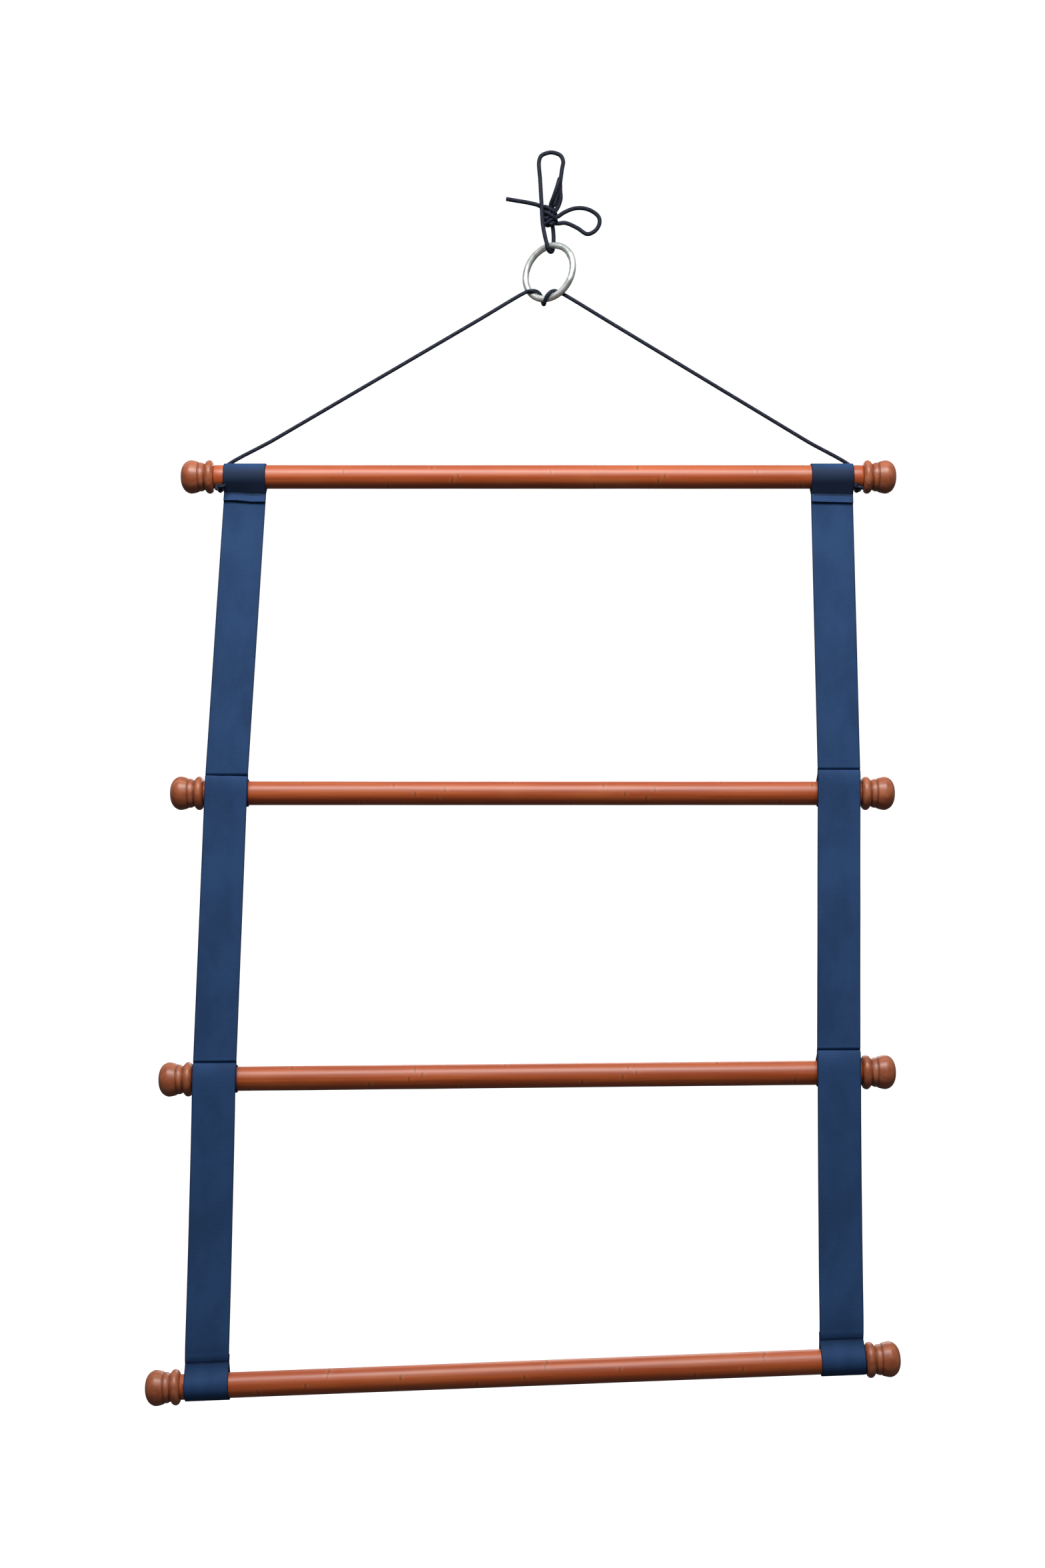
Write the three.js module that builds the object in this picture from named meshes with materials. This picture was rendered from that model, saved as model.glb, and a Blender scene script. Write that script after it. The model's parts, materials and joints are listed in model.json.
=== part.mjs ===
// A hanging rack: four turned bars in two webbing straps, slung by a cord from a steel ring.
// Millimetres. +X is to the right, -Y is to the front, +Z is up. The origin is the inside top of
// the cord loop that the rack hangs by.
import * as THREE from 'three';

// ---- driving dimensions ----
const GAP = 0.3; // between pieces that touch
const LOOP_PLAY = 0.5; // between a bar and its webbing loops
const ROD_R = 14;
const ROD_LENGTH = 850; // from finial tip to finial tip
const FINIAL_LENGTH = 39;
const SCREW_R = 2.6;
const SCREW_DEPTH = 20; // into the bar, and into the finial
const WEB_WIDTH = 50;
const WEB_T = 2;
const CORD_R = 2.25; // bridle cord
const TIE_R = 2.5; // tie cord
const RING_R = 33.5; // to the middle of the wire
const RING_WIRE_R = 4;
const RING_TURN = 33; // degrees, right side to the front
const RING_LEAN = 6; // degrees, top to the right
const RING_CENTRE = [-2.7, -1.5, -149.4];

// Bars 2 and 3 lie behind the straps, in pinched loops: one webbing thickness and the gaps.
const SET_BACK = WEB_T / 2 + GAP + WEB_T + LOOP_PLAY + ROD_R;
// x, y, z is the middle of each bar, and tilt raises its right end, in degrees.
const RODS = [
  { x: -15.8, y: 0, z: -402.8, tilt: 0 },
  { x: -23.1, y: SET_BACK, z: -780, tilt: 0 },
  { x: -29.3, y: SET_BACK, z: -1108.9, tilt: 0.6 },
  { x: -34.1, y: 0, z: -1441.3, tilt: 2.2 },
];
// Where the middle of each strap crosses each bar, and how far its seams lie from the bar's axis.
const SIDES = {
  left: { out: -1, x: [-364.6, -380.5, -387.9, -389.3], hem: 21, pinch: 18, foot: 25 },
  right: { out: 1, x: [333, 335, 328.7, 325.9], hem: 22, pinch: 25, foot: 23 },
};
const FLAP = 11; // free edge of a hem beyond its stitch line
const TURNED_SIDES = 20; // of the bars and finials

// ---- materials ----
const finish = (color, roughness, metalness = 0) =>
  new THREE.MeshStandardMaterial({ color, roughness, metalness });
const MATERIALS = {
  bamboo: finish(0xb9693f, 0.35),
  turned: finish(0xa9623f, 0.5),
  webbing: finish(0x2c4069, 0.85),
  cord: finish(0x161d30, 0.8),
  ring: finish(0xb9beba, 0.25, 1),
  screw: finish(0xa9a9a4, 0.35, 1),
};

const rack = new THREE.Group();
const radians = THREE.MathUtils.degToRad;
const vector = (p) => new THREE.Vector3(...p);

function place(name, geometry, material, parent = rack) {
  const mesh = new THREE.Mesh(geometry, MATERIALS[material]);
  mesh.name = name;
  parent.add(mesh);
  return mesh;
}

// A profile of [along, radius] points turned round the X axis.
function turned(profile, segments) {
  const points = profile.map(([along, radius]) => new THREE.Vector2(radius, along));
  return new THREE.LatheGeometry(points, segments).rotateZ(-Math.PI / 2);
}

// A round cord along points; closed ends, sides sides.
function cordTube(points, radius, steps, sides = 8) {
  const section = new THREE.Shape();
  for (let i = 0; i < sides; i++) {
    const angle = (i / sides) * 2 * Math.PI;
    section[i ? 'lineTo' : 'moveTo'](radius * Math.cos(angle), radius * Math.sin(angle));
  }
  section.closePath();
  const path = new THREE.CatmullRomCurve3(points, false, 'centripetal');
  return new THREE.ExtrudeGeometry(section, { steps, bevelEnabled: false, extrudePath: path });
}

// The height of a bar's axis where the middle of a strap crosses it.
function barHeight(bar, x) {
  return RODS[bar].z + (x - RODS[bar].x) * Math.tan(radians(RODS[bar].tilt));
}

// ---- bars, finials and the screws that join them ----
const BORE_R = SCREW_R + GAP;
const BORE_DEPTH = SCREW_DEPTH + GAP;
const BAR_HALF = ROD_LENGTH / 2 - FINIAL_LENGTH - GAP;

function rodGeometry() {
  const half = [
    [BAR_HALF - BORE_DEPTH, 0],
    [BAR_HALF - BORE_DEPTH, BORE_R],
    [BAR_HALF, BORE_R],
    [BAR_HALF, ROD_R - 1],
    [BAR_HALF - 1, ROD_R],
  ];
  const mirrored = half.map(([along, radius]) => [-along, radius]);
  return turned([...mirrored, ...half.reverse()], TURNED_SIDES);
}

// Tip at 0, the bar's end at FINIAL_LENGTH: a ball, a cove and a bead, with a blind bore.
function finialGeometry() {
  return turned(
    [
      [0, 0],
      [0, 7.5],
      [1.5, 12],
      [5, 16.8],
      [11, 19.6],
      [17, 18.8],
      [21, 16.2],
      [25, 16.6],
      [28, 15.2],
      [31, 18.8],
      [34, 19.8],
      [37, 18.6],
      [FINIAL_LENGTH, ROD_R + 0.8],
      [FINIAL_LENGTH, BORE_R],
      [FINIAL_LENGTH - BORE_DEPTH, BORE_R],
      [FINIAL_LENGTH - BORE_DEPTH, 0],
    ],
    TURNED_SIDES,
  );
}

function screwGeometry() {
  const taper = 4;
  return turned(
    [
      [-SCREW_DEPTH, 0],
      [-SCREW_DEPTH + taper, SCREW_R],
      [SCREW_DEPTH - taper, SCREW_R],
      [SCREW_DEPTH, 0],
    ],
    8,
  );
}

RODS.forEach(({ x, y, z, tilt }, index) => {
  const bar = new THREE.Group();
  bar.position.set(x, y, z);
  bar.rotation.y = -radians(tilt);
  rack.add(bar);
  const number = index + 1;
  place(`rod_${number}`, rodGeometry(), 'bamboo', bar);
  for (const [side, { out }] of Object.entries(SIDES)) {
    const finial = place(`finial_${number}_${side}`, finialGeometry(), 'turned', bar);
    finial.position.x = (out * ROD_LENGTH) / 2;
    finial.rotation.z = out > 0 ? Math.PI : 0;
    const screw = place(`finial_screw_${number}_${side}`, screwGeometry(), 'screw', bar);
    screw.position.x = out * (BAR_HALF + GAP / 2);
  }
});

// ---- webbing ----
const LOOP_IN = ROD_R + LOOP_PLAY;
const LOOP_OUT = LOOP_IN + WEB_T;
const ARC_STEPS = 10; // per curve of a loop's outline
const SEWN = 2.5; // of each loop's neck, where its two layers are one
const SEAM_GAP = 0.6; // from a seam to the ends of the straps that meet there

// The angles at which lines from a point touch a circle at the origin.
function tangents(point, radius) {
  const towards = Math.atan2(point[1], point[0]);
  const spread = Math.acos(radius / Math.hypot(...point));
  return [towards - spread, towards + spread];
}

// A line to a circle at the origin, then counter-clockwise round it, angles in radians.
function lineAndArc(path, radius, from, to) {
  path.lineTo(radius * Math.cos(from), radius * Math.sin(from));
  path.absarc(0, 0, radius, from, to, false);
}

// Webbing along a side view: the outline's points are [y, z] from the bar's axis.
function webbing(shape) {
  const options = { depth: WEB_WIDTH, bevelEnabled: false, curveSegments: ARC_STEPS };
  const geometry = new THREE.ExtrudeGeometry(shape, options).translate(0, 0, -WEB_WIDTH / 2);
  return geometry.rotateX(Math.PI / 2).rotateZ(Math.PI / 2);
}

// A hole round the bar that narrows to a point where the layers meet.
function loopHole(apex) {
  const [start, end] = tangents(apex, LOOP_IN);
  const hole = new THREE.Path();
  hole.moveTo(...apex);
  lineAndArc(hole, LOOP_IN, end, start + 2 * Math.PI);
  hole.closePath();
  return hole;
}

// A hem: once round the bar, sewn at the neck, with a flap in front. The neck is below the bar.
function hemShape(neck) {
  const front = -WEB_T / 2 - GAP - WEB_T;
  const back = WEB_T / 2;
  const [frontAngle] = tangents([front, -neck], LOOP_OUT);
  const [, backAngle] = tangents([back, -neck], LOOP_OUT);
  const shape = new THREE.Shape();
  shape.moveTo(back, -neck);
  lineAndArc(shape, LOOP_OUT, backAngle, frontAngle + 2 * Math.PI);
  shape.lineTo(front, -neck);
  shape.lineTo(front, -neck - FLAP);
  shape.lineTo(front + WEB_T, -neck - FLAP);
  shape.lineTo(front + WEB_T, -neck);
  shape.closePath();
  shape.holes.push(loopHole([-WEB_T / 2, -neck + SEWN]));
  return shape;
}

// A pinched loop: behind the strap, down from the seam, round the bar and back up to the seam.
function pinchShape(rise) {
  const front = WEB_T / 2 + GAP - SET_BACK;
  const shape = new THREE.Shape();
  const [backAngle] = tangents([front + 2 * WEB_T, rise], LOOP_OUT);
  shape.moveTo(front, rise);
  lineAndArc(shape, LOOP_OUT, Math.PI, 2 * Math.PI + backAngle);
  shape.lineTo(front + 2 * WEB_T, rise);
  shape.closePath();
  shape.holes.push(loopHole([front + WEB_T, rise - SEWN]));
  return shape;
}

function placeLoop(side, bar, geometry) {
  const loop = place(`loop_${side}_${bar + 1}`, geometry, 'webbing');
  loop.position.set(SIDES[side].x[bar], RODS[bar].y, barHeight(bar, SIDES[side].x[bar]));
  loop.rotation.y = -radians(RODS[bar].tilt);
}

// A flat length of strap from one seam to the next; its ends slope with the bars.
function strapGeometry(top, foot) {
  const half = WEB_WIDTH / 2;
  const topZ = top.z - SEAM_GAP;
  const footZ = foot.z + SEAM_GAP;
  const shape = new THREE.Shape();
  shape.moveTo(top.x - half, topZ - half * top.slope);
  shape.lineTo(foot.x - half, footZ - half * foot.slope);
  shape.lineTo(foot.x + half, footZ + half * foot.slope);
  shape.lineTo(top.x + half, topZ + half * top.slope);
  shape.closePath();
  const options = { depth: WEB_T, bevelEnabled: false };
  return new THREE.ExtrudeGeometry(shape, options).translate(0, 0, -WEB_T / 2).rotateX(Math.PI / 2);
}

for (const [side, { x, hem, pinch, foot }] of Object.entries(SIDES)) {
  placeLoop(side, 0, webbing(hemShape(hem)));
  placeLoop(side, 1, webbing(pinchShape(pinch)));
  placeLoop(side, 2, webbing(pinchShape(pinch)));
  placeLoop(side, 3, webbing(hemShape(foot)).rotateX(Math.PI));
  const offsets = [-hem, pinch, pinch, foot];
  const seams = x.map((at, bar) => ({
    x: at,
    z: barHeight(bar, at) + offsets[bar],
    slope: Math.tan(radians(RODS[bar].tilt)),
  }));
  for (let bar = 0; bar < 3; bar++) {
    place(`strap_${side}_${bar + 1}`, strapGeometry(seams[bar], seams[bar + 1]), 'webbing');
  }
}

// ---- ring ----
// The ring's own directions: across its face, up its face, and out of its front.
const lean = radians(RING_LEAN);
const turn = radians(RING_TURN);
const ACROSS = new THREE.Vector3(
  Math.cos(turn) * Math.cos(lean),
  -Math.sin(turn),
  -Math.cos(turn) * Math.sin(lean),
);
const UP = new THREE.Vector3(Math.sin(lean), 0, Math.cos(lean));
const FRONT = new THREE.Vector3().crossVectors(ACROSS, UP);

const ring = place(
  'hang_ring',
  new THREE.TorusGeometry(RING_R, RING_WIRE_R, 10, 32),
  'ring',
);
ring.quaternion.setFromRotationMatrix(new THREE.Matrix4().makeBasis(ACROSS, UP, FRONT));
ring.position.set(...RING_CENTRE);

// A point beside the ring's wire: ringAngle from the top, clockwise from the front, and
// wireAngle round the wire from its outer side by way of the front.
function besideWire(ringAngle, wireAngle, distance) {
  const outward = ACROSS.clone().multiplyScalar(Math.sin(radians(ringAngle)));
  outward.addScaledVector(UP, Math.cos(radians(ringAngle)));
  const radius = RING_R + distance * Math.cos(radians(wireAngle));
  return vector(RING_CENTRE)
    .addScaledVector(outward, radius)
    .addScaledVector(FRONT, distance * Math.sin(radians(wireAngle)));
}

// ---- bridle cord ----
// The round turn on the foot of the ring, as [ringAngle, wireAngle].
const ROUND_TURN = [
  [226, 80],
  [210, 180],
  [198, 270],
  [183, 360],
  [172, 450],
  [156, 540],
  [144, 640],
];
const TURN_STEPS = 3; // points on each stretch of the round turn
const WIRE_CLEAR = RING_WIRE_R + CORD_R + 0.5; // from the middle of the wire to the cord's
const BAR_CLEAR = ROD_R + CORD_R + 0.7; // from the bar's axis to the middle of the cord
const RUN_PARTS = 6; // of each straight run, between its points

function roundTurn() {
  const points = [];
  for (let i = 0; i < ROUND_TURN.length - 1; i++) {
    for (let step = 0; step < TURN_STEPS; step++) {
      const t = step / TURN_STEPS;
      const ringAngle = THREE.MathUtils.lerp(ROUND_TURN[i][0], ROUND_TURN[i + 1][0], t);
      const wireAngle = THREE.MathUtils.lerp(ROUND_TURN[i][1], ROUND_TURN[i + 1][1], t);
      points.push(besideWire(ringAngle, wireAngle, WIRE_CLEAR));
    }
  }
  points.push(besideWire(...ROUND_TURN.at(-1), WIRE_CLEAR));
  return points;
}

// The end of the cord at the top bar: down its back, under it and up to the knot in front.
// Angles are measured from the back of the bar, upwards.
const HITCH_X = { left: -393, right: 361.6 };
const HITCH_ANGLES = [48, 20, -10, -40, -70, -98];
const HITCH_STEP = 0.4; // outwards along the bar, from each angle to the next
const KNOT_R = 5;
const KNOT_ANGLE = -137;
const KNOT_OUT = 3.4; // outwards from where the cord comes over the bar

function besideBar(x, angle, distance) {
  const y = distance * Math.cos(radians(angle));
  const z = RODS[0].z + distance * Math.sin(radians(angle));
  return new THREE.Vector3(x, y, z);
}

function hitch(side) {
  const step = SIDES[side].out * HITCH_STEP;
  return HITCH_ANGLES.map((angle, index) =>
    besideBar(HITCH_X[side] + index * step, angle, BAR_CLEAR),
  );
}

const leftHitch = hitch('left');
const rightHitch = hitch('right');

function straightRun(from, to) {
  const points = [];
  for (let i = 1; i < RUN_PARTS; i++) points.push(from.clone().lerp(to, i / RUN_PARTS));
  return points;
}

const turnPoints = roundTurn();
const bridlePoints = [
  ...leftHitch.slice().reverse(),
  ...straightRun(leftHitch[0], turnPoints[0]),
  ...turnPoints,
  ...straightRun(turnPoints.at(-1), rightHitch[0]),
  ...rightHitch,
];
place('bridle_cord', cordTube(bridlePoints, CORD_R, 140), 'cord');

// ---- knots at the bridle's ends, at the lower front of the top bar ----
const KNOT_CLEAR = 0.5; // from the bar
for (const [side, { out }] of Object.entries(SIDES)) {
  const knot = place(`end_knot_${side}`, new THREE.SphereGeometry(KNOT_R, 10, 6), 'cord');
  const x = HITCH_X[side] + out * KNOT_OUT;
  knot.position.copy(besideBar(x, KNOT_ANGLE, ROD_R + KNOT_R + KNOT_CLEAR));
}

// ---- tie cord ----
// Over the hook, down the left leg, under the ring's wire and up behind it to the bow knot.
const BIGHT_CLEAR = RING_WIRE_R + TIE_R + 0.5;
const RING_TOP_ANGLE = -5;
const BIGHT = [90, 130, 180, 230, 270].map((angle) =>
  besideWire(RING_TOP_ANGLE, angle, BIGHT_CLEAR),
);
const TIE_UPPER = [
  [3, 4, -63.5],
  [8.3, 2.6, -50],
  [11, 1.8, -34],
  [13.2, 0.5, -18],
  [14.6, 0, -8.5],
  [11.6, 0, -1.4],
  [6, 0, 1.7],
  [0, 0, 2.8],
  [-6, 0, 1.7],
  [-11.8, 0, -1.4],
  [-14.6, 0, -8],
  [-13.4, -0.5, -32],
  [-11.9, -1.5, -60],
  [-10.2, -3, -90],
  [-7.4, -5.2, -107],
];
const TIE_LOWER = [
  [2.9, 6, -106],
  [2.6, 5, -97],
];
const tiePoints = [...TIE_UPPER.map(vector), ...BIGHT, ...TIE_LOWER.map(vector)];
place('tie_cord', cordTube(tiePoints, TIE_R, 50), 'cord');

const BOW_KNOT = { centre: [-0.6, 0, -79], semiAxes: [6, 7, 14.5] };
const bowKnot = place('bow_knot', new THREE.SphereGeometry(1, 12, 8), 'cord');
bowKnot.scale.set(...BOW_KNOT.semiAxes);
bowKnot.position.set(...BOW_KNOT.centre);

const BOW_LOOP = [
  [7.4, -2.5, -80],
  [15, -3, -75],
  [27.4, -2.5, -69.6],
  [40, -1.5, -69],
  [50.5, 0, -72.6],
  [57.5, 1, -79],
  [58.3, 1.6, -87],
  [52.8, 2, -96],
  [43.5, 2.4, -99.8],
  [31.4, 2.6, -92],
  [17, 2.8, -85.6],
  [8, 3, -86.2],
];
const BOW_LOOP_UPPER = [
  [-0.8, -6.8, -67],
  [2, -13, -59],
  [6, -17, -49],
  [8.8, -16, -41],
  [10.4, -12.4, -36.2],
  [11.8, -7.8, -35],
  [13.2, -4, -38.8],
  [14, -2.8, -48],
  [12.2, -2.8, -59],
  [8.2, -2.4, -69],
];
const CORD_TAIL = [
  [-8, 5.6, -66.5],
  [-16, 5.8, -61.8],
  [-30, 4.5, -58.8],
  [-44, 3, -57],
  [-54.4, 2, -55.5],
];
place('bow_loop', cordTube(BOW_LOOP.map(vector), TIE_R, 28), 'cord');
place('bow_loop_upper', cordTube(BOW_LOOP_UPPER.map(vector), TIE_R, 20), 'cord');
place('cord_tail', cordTube(CORD_TAIL.map(vector), TIE_R, 8), 'cord');

export default rack;
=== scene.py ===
"""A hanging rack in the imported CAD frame: four stained bamboo bars with turned ends, held in two
navy webbing straps and slung by a braided cord from a steel ring. Metres, +Z up, -Y to the front."""

import json
import math

import bpy
import numpy as np
from mathutils import Matrix, Vector, noise


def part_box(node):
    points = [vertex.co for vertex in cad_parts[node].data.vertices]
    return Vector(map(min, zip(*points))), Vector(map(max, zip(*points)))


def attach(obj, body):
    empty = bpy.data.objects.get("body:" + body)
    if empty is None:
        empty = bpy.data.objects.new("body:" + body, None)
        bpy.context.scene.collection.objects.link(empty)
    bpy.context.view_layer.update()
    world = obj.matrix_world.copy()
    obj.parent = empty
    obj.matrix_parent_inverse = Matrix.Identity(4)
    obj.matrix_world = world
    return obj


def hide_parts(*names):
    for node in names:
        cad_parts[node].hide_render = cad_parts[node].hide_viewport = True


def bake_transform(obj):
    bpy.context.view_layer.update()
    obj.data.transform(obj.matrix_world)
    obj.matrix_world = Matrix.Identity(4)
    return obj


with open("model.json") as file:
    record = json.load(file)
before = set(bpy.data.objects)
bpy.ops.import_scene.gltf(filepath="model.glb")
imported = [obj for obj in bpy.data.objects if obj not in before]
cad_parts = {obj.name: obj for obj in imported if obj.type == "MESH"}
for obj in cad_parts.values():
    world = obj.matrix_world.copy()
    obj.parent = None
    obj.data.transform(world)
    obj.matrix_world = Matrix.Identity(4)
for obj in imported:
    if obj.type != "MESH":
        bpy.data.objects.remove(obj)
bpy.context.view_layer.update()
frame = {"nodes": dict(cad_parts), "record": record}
MM = 0.001
SIDES = {"left": -1, "right": 1}
JOINTS = {joint["name"]: joint for joint in frame["record"]["behaviour"]["joints"]}

# ---- camera ----
CAMERA_PLACE = (-0.0348, -2.5191, -1.1120)
CAMERA_PITCH = math.radians(7.70)
CAMERA_LENS = 50.0
SENSOR_HEIGHT = 36.0


def make_camera():
    data = bpy.data.cameras.new("camera")
    data.lens = CAMERA_LENS
    data.sensor_fit = "VERTICAL"
    data.sensor_height = SENSOR_HEIGHT
    data.clip_end = 50
    camera = bpy.data.objects.new("camera", data)
    camera.location = CAMERA_PLACE
    camera.rotation_euler = (math.pi / 2 + CAMERA_PITCH, 0, 0)
    bpy.context.scene.collection.objects.link(camera)
    bpy.context.scene.camera = camera


make_camera()


# ---- node helpers ----
class Nodes:
    """A material's node tree, where each call adds one node and returns its output."""

    def __init__(self, name):
        self.material = bpy.data.materials.new(name)
        self.material.use_nodes = True
        self.tree = self.material.node_tree
        self.shader = self.tree.nodes["Principled BSDF"]

    def put(self, node, key, value):
        if isinstance(value, bpy.types.NodeSocket):
            self.tree.links.new(value, node.inputs[key])
        else:
            node.inputs[key].default_value = value

    def add(self, kind, inputs, **settings):
        node = self.tree.nodes.new(kind)
        for key, value in settings.items():
            setattr(node, key, value)
        for key, value in inputs.items():
            self.put(node, key, value)
        return node

    def math(self, operation, a, b=0.0, c=0.0):
        return self.add("ShaderNodeMath", {0: a, 1: b, 2: c}, operation=operation).outputs[0]

    def range(self, value, low, high, to_low=0.0, to_high=1.0):
        inputs = {0: value, 1: low, 2: high, 3: to_low, 4: to_high}
        return self.add("ShaderNodeMapRange", inputs, interpolation_type="SMOOTHSTEP").outputs[0]

    def mix(self, share, a, b):
        return self.add("ShaderNodeMix", {0: share, 6: a, 7: b}, data_type="RGBA").outputs[2]

    def noise(self, vector, scale, detail=3.0):
        inputs = {"Vector": vector, "Scale": scale, "Detail": detail, "Roughness": 0.55}
        return self.add("ShaderNodeTexNoise", inputs).outputs["Fac"]

    def vector(self, operation, a, b):
        return self.add("ShaderNodeVectorMath", {0: a, 1: b}, operation=operation).outputs[0]

    def axes(self, vector):
        return self.add("ShaderNodeSeparateXYZ", {0: vector}).outputs

    def place(self):
        return self.add("ShaderNodeTexCoord", {}).outputs["Object"]

    def attribute(self, name):
        return self.add("ShaderNodeAttribute", {}, attribute_name=name).outputs["Fac"]

    def bump(self, height, distance, strength):
        inputs = {"Height": height, "Distance": distance, "Strength": strength}
        return self.add("ShaderNodeBump", inputs).outputs[0]

    def finish(self, **values):
        for key, value in values.items():
            self.put(self.shader, key.replace("_", " "), value)
        return self.material


def rgb(red, green, blue):
    """A colour as it looks on a screen, 0 to 255, turned into the linear one a shader takes."""

    def linear(value):
        value /= 255
        return value / 12.92 if value <= 0.04045 else ((value + 0.055) / 1.055) ** 2.4

    return (linear(red), linear(green), linear(blue), 1.0)


# ---- materials ----
STRIP = 5.2 * MM  # thickness of the strips that a bar is glued up from
NODE_SPACING = 0.245  # of the bamboo's nodes along a strip


def bamboo(name, seed):
    """Glued bamboo strips under a terracotta stain and a satin varnish, fibres along X."""
    n = Nodes(name)
    place = n.place()
    shifted = n.vector("ADD", place, (seed * 1.7, 0, 0))
    axes = n.axes(place)
    strip = n.math("FLOOR", n.math("DIVIDE", axes["Z"], STRIP))
    strip_id = n.math("MULTIPLY_ADD", strip, 3.7, seed * 11.3)
    tone = n.add("ShaderNodeTexWhiteNoise", {"W": strip_id}, noise_dimensions="1D").outputs["Value"]
    fibre = n.noise(n.vector("MULTIPLY", shifted, (14, 900, 900)), 1.0, 4)
    streak = n.noise(n.vector("MULTIPLY", shifted, (3.5, 160, 160)), 1.0)
    blotch = n.noise(n.vector("MULTIPLY", shifted, (9, 30, 30)), 1.0, 2)
    color = n.mix(n.range(streak, 0.3, 0.72), rgb(170, 72, 25), rgb(200, 98, 42))
    color = n.mix(n.range(fibre, 0.35, 0.75, 0, 0.45), color, rgb(132, 46, 15))
    color = n.mix(n.math("MULTIPLY", tone, 0.3), color, rgb(190, 86, 36))
    color = n.mix(n.range(blotch, 0.52, 0.8, 0, 0.35), color, rgb(208, 122, 66))
    # the nodes of each strip: a thin dark line across it inside a paler patch
    start = n.math("MULTIPLY_ADD", tone, NODE_SPACING * 3.1, seed * 0.13)
    waver = n.math("MULTIPLY_ADD", streak, 5 * MM, start)
    from_node = n.math("PINGPONG", n.math("ADD", axes["X"], waver), NODE_SPACING / 2)
    line = n.range(from_node, 0.5 * MM, 1.8 * MM, 1, 0)
    color = n.mix(n.range(from_node, 2 * MM, 7 * MM, 0.22, 0), color, rgb(208, 122, 70))
    color = n.mix(n.math("MULTIPLY", line, 0.5), color, rgb(92, 38, 18))
    height = n.math("SUBTRACT", n.math("MULTIPLY", fibre, 0.5), n.math("MULTIPLY", line, 0.5))
    return n.finish(
        Base_Color=color,
        Roughness=n.range(streak, 0.2, 0.8, 0.36, 0.5),
        Normal=n.bump(height, 0.12 * MM, 0.6),
        Coat_Weight=0.55,
        Coat_Roughness=0.42,
    )


def turned_wood(name, seed):
    """Plain hardwood turned along X, stained like the bars but duller, with painted shade in its
    grooves.
    """
    n = Nodes(name)
    shifted = n.vector("ADD", n.place(), (seed, seed * 0.7, 0))
    grain = n.noise(n.vector("MULTIPLY", shifted, (22, 260, 90)), 1.0, 4)
    pore = n.noise(n.vector("MULTIPLY", shifted, (60, 1500, 1500)), 1.0, 2)
    patch = n.noise(shifted, 55, 2)
    color = n.mix(n.range(grain, 0.3, 0.7), rgb(152, 76, 43), rgb(184, 104, 64))
    color = n.mix(n.range(pore, 0.55, 0.75, 0, 0.45), color, rgb(108, 50, 28))
    color = n.mix(n.range(patch, 0.45, 0.75, 0, 0.3), color, rgb(200, 130, 98))
    # painted shade: the wood darkened towards dark brown at the bottom of each groove
    color = n.mix(n.math("MULTIPLY", n.attribute("groove"), 0.75), color, rgb(92, 38, 18))
    return n.finish(
        Base_Color=color,
        Roughness=n.range(grain, 0.2, 0.8, 0.4, 0.54),
        Normal=n.bump(n.math("MULTIPLY_ADD", pore, 0.4, grain), 0.15 * MM, 0.5),
        Coat_Weight=0.4,
        Coat_Roughness=0.3,
    )


RIB_PITCH = 2.15 * MM  # of the webbing's cross ribs
WARP_PITCH = 0.85 * MM


def webbing(name):
    """Navy ribbed webbing, with painted shade where its hem value is 1 (the lower front of the top
    hems), in the hollows of its weave and along its edges. The cloth UV map holds metres across and
    along the strap."""
    n = Nodes(name)
    uv = n.add("ShaderNodeUVMap", {}, uv_map="cloth").outputs[0]
    axes = n.axes(uv)
    waver = n.math("MULTIPLY", n.noise(n.vector("MULTIPLY", uv, (60, 40, 0)), 1.0, 2), 0.3)
    turn = n.math("MULTIPLY_ADD", axes["Y"], 1 / RIB_PITCH, waver)
    rib = n.math("SINE", n.math("MULTIPLY", turn, 2 * math.pi))
    row = n.math("MODULO", n.math("FLOOR", n.math("MULTIPLY", turn, 2)), 2)
    warp_turn = n.math("MULTIPLY_ADD", axes["X"], 1 / WARP_PITCH, n.math("MULTIPLY", row, 0.5))
    warp = n.math("ABSOLUTE", n.math("SINE", n.math("MULTIPLY", warp_turn, math.pi)))
    weave = n.math("MULTIPLY_ADD", rib, 0.5, n.math("MULTIPLY", warp, 0.7))
    heather = n.noise(n.vector("MULTIPLY", uv, (900, 260, 0)), 1.0)
    fade = n.noise(n.vector("MULTIPLY", uv, (24, 14, 0)), 1.0)
    color = n.mix(n.range(fade, 0.3, 0.7), rgb(32, 62, 103), rgb(39, 72, 117))
    # painted shade: darker in the hollows between the ribs and the warp threads
    color = n.mix(n.range(weave, -0.4, 0.7, 0.2, 0), color, rgb(15, 34, 68))
    color = n.mix(n.range(heather, 0.55, 0.8, 0, 0.25), color, rgb(66, 98, 140))
    # painted shade: the lower front of the top hem, where the hem value is 1, darkened nearly to black
    color = n.mix(n.math("MULTIPLY", n.attribute("hem"), 0.62), color, rgb(26, 24, 20))
    # painted shade: darker towards each rounded edge of the webbing
    selvedge = n.range(n.math("ABSOLUTE", axes["X"]), 23.2 * MM, 24.6 * MM, 0, 0.75)
    color = n.mix(selvedge, color, rgb(13, 22, 52))
    return n.finish(
        Base_Color=color,
        Roughness=0.72,
        Normal=n.bump(n.math("MULTIPLY_ADD", heather, 0.5, weave), 0.08 * MM, 0.7),
        Specular_IOR_Level=0.2,
        Sheen_Weight=0.03,
        Sheen_Roughness=0.5,
        Sheen_Tint=rgb(90, 125, 200),
    )


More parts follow.
